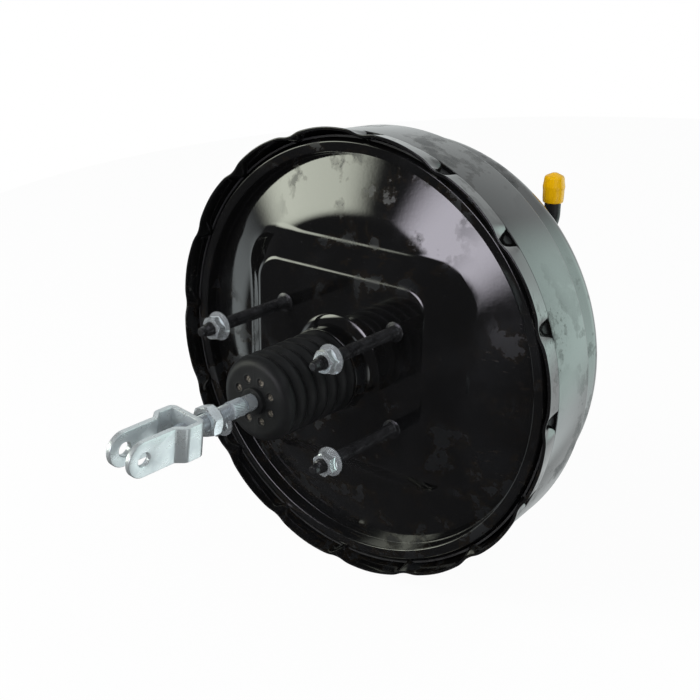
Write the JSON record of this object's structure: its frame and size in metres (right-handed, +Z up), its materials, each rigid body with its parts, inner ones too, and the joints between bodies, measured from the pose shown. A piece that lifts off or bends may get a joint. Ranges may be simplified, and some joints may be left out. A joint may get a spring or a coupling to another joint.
{
  "type": "vacuum brake booster",
  "caption": "Round vacuum brake booster with a stud-mounted boss, bellows boot, push rod with a forked clevis, and a capped vacuum elbow.",
  "frame": {"origin": "centre of the four mounting studs, in the plane of the mounting pad", "axes": "+Y from the mounting pad along the booster's axis to the master cylinder face, +Z up towards the vacuum elbow, +X to the side the elbow stands on"},
  "size_m": [0.296, 0.3288, 0.296],
  "materials": {
    "painted_steel": "gloss black paint",
    "black_oxide_steel": "black oxide, threaded",
    "zinc_steel": "bluish zinc plating",
    "bright_steel": "bare steel",
    "screw_steel": "bare steel",
    "spring_steel": "oiled spring wire",
    "black_rubber": "moulded rubber",
    "boot_rubber": "matte moulded rubber",
    "moulded_body": "filled thermoset",
    "guide_plastic": "nylon",
    "plunger_aluminium": "turned",
    "black_plastic": "moulded nylon",
    "filter_foam": "open-cell foam",
    "felt": "pressed felt",
    "yellow_vinyl": "soft gloss vinyl"
  },
  "bodies": {
    "shell": {"rear_shell": "painted_steel", "front_shell": "painted_steel", "firewall_studs": "black_oxide_steel", "flange_nuts": "zinc_steel", "front_reinforcement_plate": "zinc_steel", "master_cylinder_studs": "black_oxide_steel", "rear_tube_seal": "black_rubber", "rear_guide_bush": "guide_plastic", "rear_seal_retainer": "bright_steel", "front_seal": "black_rubber", "vacuum_grommet": "black_rubber", "check_valve_housing": "black_plastic", "check_valve_spring": "spring_steel", "vacuum_elbow": "black_plastic", "diaphragm": "black_rubber", "dust_boot": "boot_rubber", "piston_return_spring": "spring_steel"},
    "power_piston": {"valve_body": "moulded_body", "stop_key": "bright_steel", "diaphragm_support_plate": "bright_steel", "reaction_disc": "black_rubber", "output_rod": "bright_steel", "output_rod_screw": "screw_steel", "output_rod_cover": "bright_steel", "poppet_valve": "black_rubber", "poppet_cup": "bright_steel", "poppet_spring": "spring_steel", "air_filter": "filter_foam", "silencer_felt": "felt", "rod_return_spring": "spring_steel"},
    "valve_plunger": {"valve_plunger": "plunger_aluminium"},
    "push_rod": {"push_rod": "zinc_steel", "rod_lock_nut": "zinc_steel", "clevis": "zinc_steel", "rod_spring_seat": "bright_steel"},
    "check_valve": {"check_valve_disc": "black_rubber"},
    "vacuum_cap": {"vacuum_cap": "yellow_vinyl"}
  },
  "joints": [
    {"name": "piston_stroke", "type": "slide", "parent": "shell", "child": "power_piston", "axis": [0, 1, 0], "range_m": [0, 0.032], "stiffness_N_per_m": 3500, "springref_m": -0.02, "deforming": ["dust_boot", "diaphragm", "piston_return_spring"]},
    {"name": "valve_stroke", "type": "slide", "parent": "power_piston", "child": "valve_plunger", "axis": [0, 1, 0], "range_m": [0, 0.0015], "stiffness_N_per_m": 4000, "springref_m": -0.004, "deforming": ["poppet_valve", "poppet_spring", "rod_return_spring"]},
    {"name": "rod_tilt", "type": "hinge", "parent": "valve_plunger", "child": "push_rod", "pos_m": [0, 0.004, 0], "axis": [1, 0, 0], "range_deg": [-2.5, 2.5], "stiffness_Nm_per_rad": 40, "deforming": ["dust_boot", "rod_return_spring"]},
    {"name": "check_valve_lift", "type": "slide", "parent": "shell", "child": "check_valve", "axis": [0, 1, 0], "range_m": [0, 0.0025], "stiffness_N_per_m": 300, "springref_m": -0.002, "deforming": ["check_valve_spring"]},
    {"name": "cap_pull", "type": "slide", "parent": "shell", "child": "vacuum_cap", "axis": [0, 0, 1], "range_m": [0, 0.025]}
  ]
}
